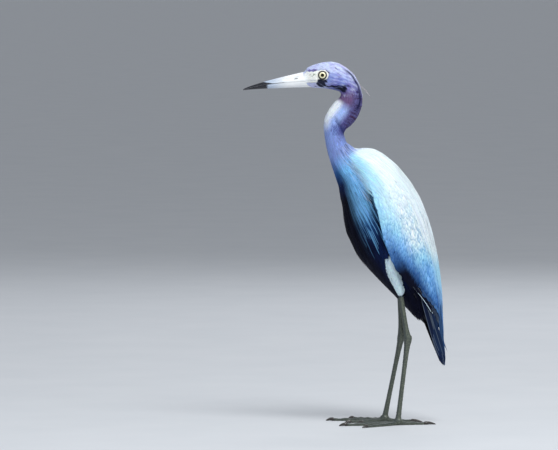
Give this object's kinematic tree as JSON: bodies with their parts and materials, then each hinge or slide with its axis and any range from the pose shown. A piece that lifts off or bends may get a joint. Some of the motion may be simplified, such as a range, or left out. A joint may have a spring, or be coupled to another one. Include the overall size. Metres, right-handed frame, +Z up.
{
  "type": "little blue heron",
  "caption": "Life-size still model of a small slate-blue heron standing upright, with a dagger bill, an S-curved neck, folded wings and long bare legs.",
  "frame": {"origin": "under the middle of the bird's box, on the floor that its soles stand on", "axes": "+Z up; the bird faces -Y; its own left side is +X"},
  "size_m": [0.1194, 0.2278, 0.4065],
  "materials": {
    "head": "matt feathers",
    "neck": "matt feathers",
    "body": "matt feathers",
    "wing": "matt feathers",
    "flight": "satin flight feathers",
    "bill": "satin horn",
    "eye": "wet gloss",
    "leg": "satin scaled skin",
    "claw": "satin horn"
  },
  "bodies": {
    "root": {"head": "head", "bill_upper": "bill", "bill_lower": "bill", "eye_left": "eye", "eye_right": "eye", "neck_upper": "neck", "neck_middle": "neck", "neck_lower": "neck", "trunk": "body", "mantle": "wing", "tail": "flight", "wing_left": "wing", "primaries_left": "flight", "nape_plume_left": "head", "thigh_left": "body", "shank_left": "leg", "tarsus_left": "leg", "toe_inner_left": "leg", "claw_inner_left": "claw", "toe_middle_left": "leg", "claw_middle_left": "claw", "toe_outer_left": "leg", "claw_outer_left": "claw", "toe_hind_left": "leg", "claw_hind_left": "claw", "wing_right": "wing", "primaries_right": "flight", "nape_plume_right": "head", "thigh_right": "body", "shank_right": "leg", "tarsus_right": "leg", "toe_inner_right": "leg", "claw_inner_right": "claw", "toe_middle_right": "leg", "claw_middle_right": "claw", "toe_outer_right": "leg", "claw_outer_right": "claw", "toe_hind_right": "leg", "claw_hind_right": "claw"}
  },
  "joints": []
}
